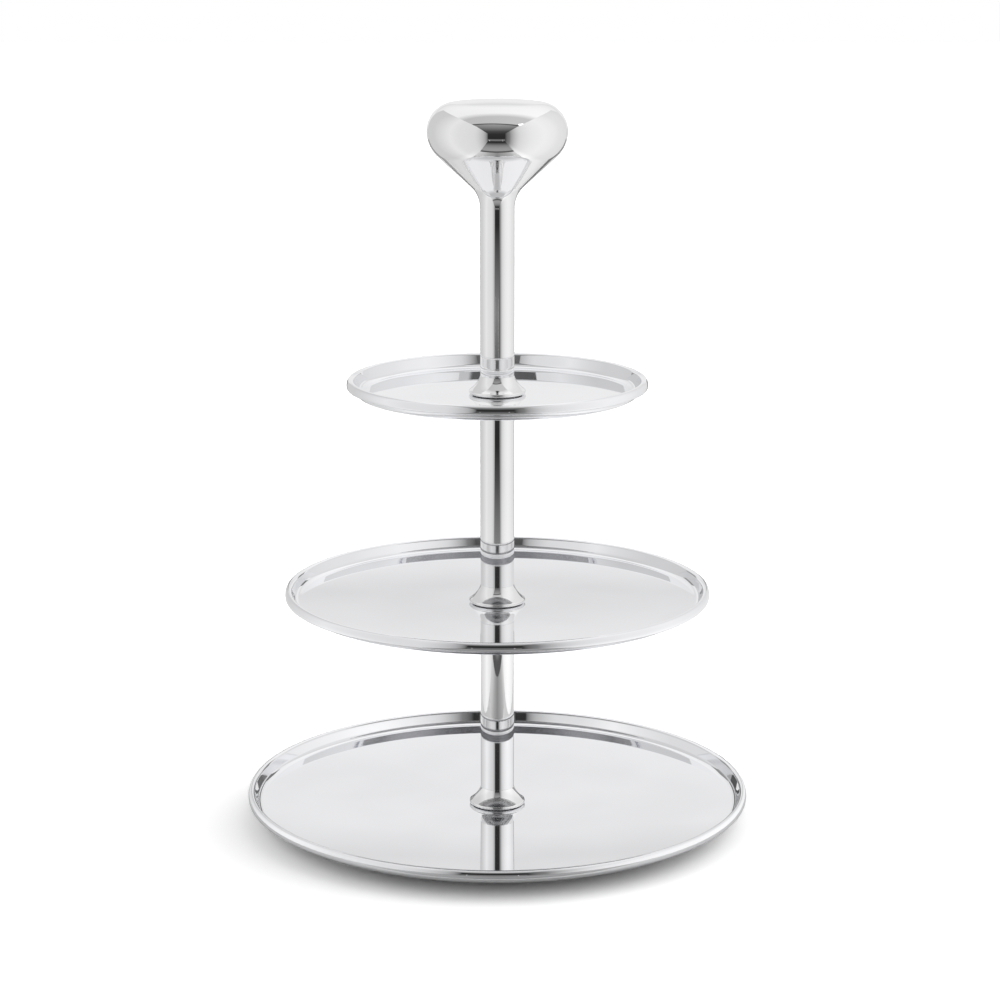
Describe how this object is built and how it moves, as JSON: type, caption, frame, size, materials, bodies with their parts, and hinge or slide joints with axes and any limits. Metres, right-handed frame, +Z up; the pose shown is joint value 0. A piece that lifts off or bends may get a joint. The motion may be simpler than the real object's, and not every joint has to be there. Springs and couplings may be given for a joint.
{
  "type": "tiered cake stand",
  "caption": "Tiered cake stand: round rimmed trays that get smaller upwards, clamped between tube columns that screw into one another, with flared feet and a hollow rounded knob to carry it by.",
  "frame": {"origin": "on the table, under the middle of the stand", "axes": "+Z up along the columns, +X to the right and +Y to the back, as seen in the picture"},
  "size_m": [0.27, 0.27, 0.3849],
  "materials": {
    "polished_steel": "mirror polished stainless steel",
    "turned_steel": "plain turned steel",
    "seal_silicone": "matt pale grey silicone",
    "pad_silicone": "satin pale silicone"
  },
  "bodies": {
    "base": {"bottom_tray": "polished_steel", "base_pads": "pad_silicone", "base_screw": "turned_steel", "base_washer": "seal_silicone", "lower_foot_seal": "seal_silicone", "lower_foot": "polished_steel", "lower_tube": "polished_steel", "lower_plug": "turned_steel", "middle_tray_seal": "seal_silicone"},
    "middle_tray": {"middle_tray": "polished_steel"},
    "middle_seal": {"middle_foot_seal": "seal_silicone"},
    "middle_column": {"middle_foot": "polished_steel", "middle_stud": "turned_steel", "middle_tube": "polished_steel", "middle_plug": "turned_steel", "top_tray_seal": "seal_silicone"},
    "top_tray": {"top_tray": "polished_steel"},
    "handle_seal": {"handle_foot_seal": "seal_silicone"},
    "handle": {"handle_foot": "polished_steel", "handle_stud": "turned_steel", "handle_tube": "polished_steel", "neck_sleeve": "turned_steel", "knob_bowl": "polished_steel", "knob_cap": "polished_steel"}
  },
  "joints": [
    {"name": "middle_tray_turn", "type": "hinge", "parent": "base", "child": "middle_tray", "pos_m": [0, 0, 0.117], "axis": [0, 0, 1], "continuous": true},
    {"name": "middle_column_rise", "type": "slide", "parent": "base", "child": "middle_seal", "axis": [0, 0, 1], "range_m": [0, 0.01125]},
    {"name": "middle_column_unscrew", "type": "hinge", "parent": "middle_seal", "child": "middle_column", "pos_m": [0, 0, 0.1183], "axis": [0, 0, 1], "range_deg": [0, 3242]},
    {"name": "top_tray_turn", "type": "hinge", "parent": "middle_column", "child": "top_tray", "pos_m": [0, 0, 0.2302], "axis": [0, 0, 1], "continuous": true},
    {"name": "handle_rise", "type": "slide", "parent": "middle_column", "child": "handle_seal", "axis": [0, 0, 1], "range_m": [0, 0.01125]},
    {"name": "handle_unscrew", "type": "hinge", "parent": "handle_seal", "child": "handle", "pos_m": [0, 0, 0.2315], "axis": [0, 0, 1], "range_deg": [0, 3242]}
  ],
  "couplings": [
    {"joint": "middle_column_unscrew", "follows": "middle_column_rise", "rad_per_m": 5026.5},
    {"joint": "handle_unscrew", "follows": "handle_rise", "rad_per_m": 5026.5}
  ]
}
